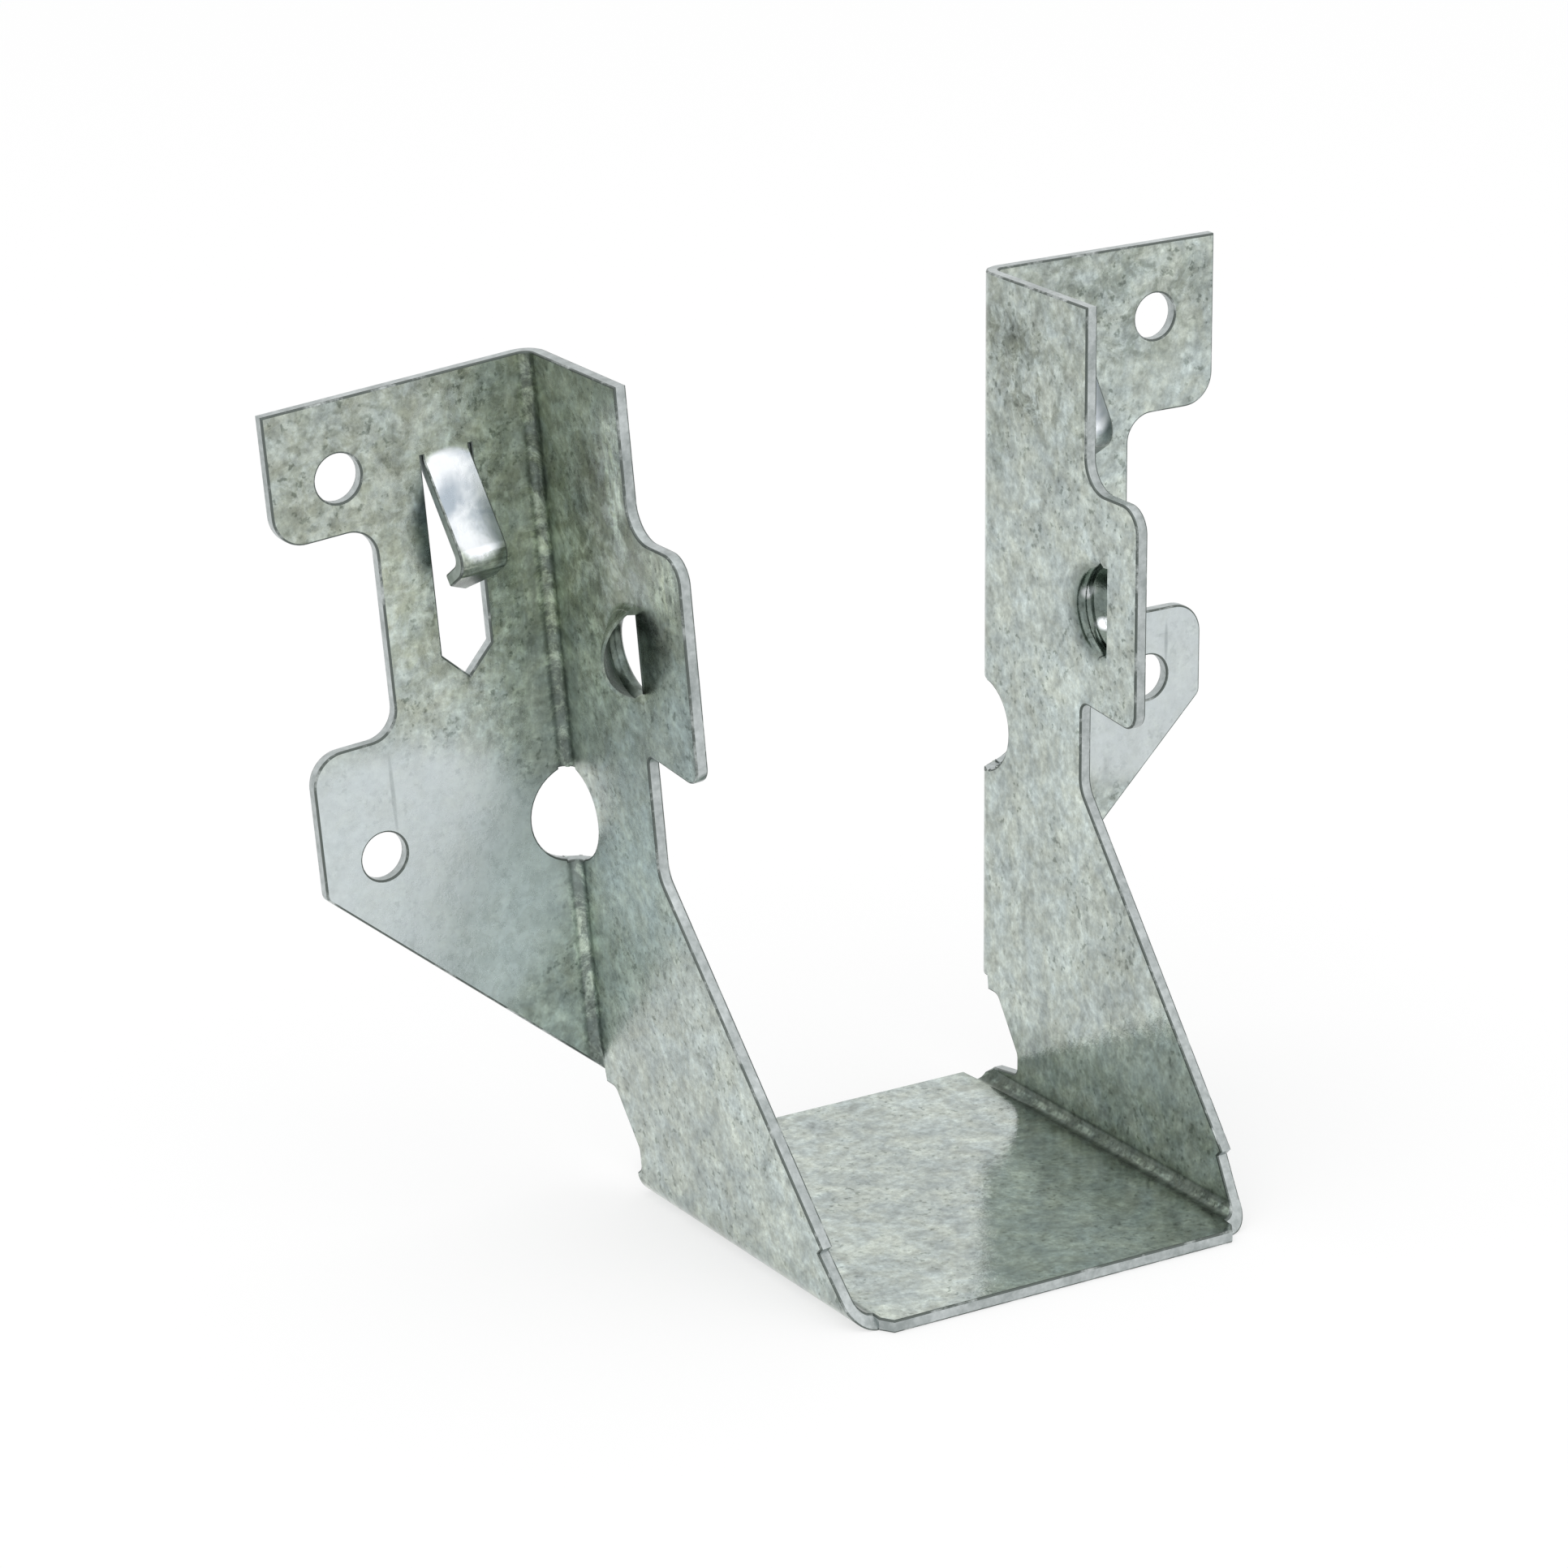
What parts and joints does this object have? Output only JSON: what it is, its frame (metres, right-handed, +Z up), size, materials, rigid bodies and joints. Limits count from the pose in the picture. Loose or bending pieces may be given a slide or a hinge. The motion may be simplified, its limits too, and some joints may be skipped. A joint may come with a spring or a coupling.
{
  "type": "joist hanger",
  "caption": "Folded sheet-steel face-mount joist hanger: a seat and two side plates with nailing domes, and header flanges with nail holes and hooked prongs.",
  "frame": {"origin": "middle of the seat's upper face, which the joist bears on", "axes": "+Z up along the joist's faces, +Y towards the header, +X across the joist to the right-hand plate"},
  "size_m": [0.0989, 0.0446, 0.0794],
  "materials": {
    "galvanised_sheet": "hot-dip galvanised, satin, with a mottled grey-green spangle"
  },
  "bodies": {
    "root": {"hanger": "galvanised_sheet"}
  },
  "joints": []
}
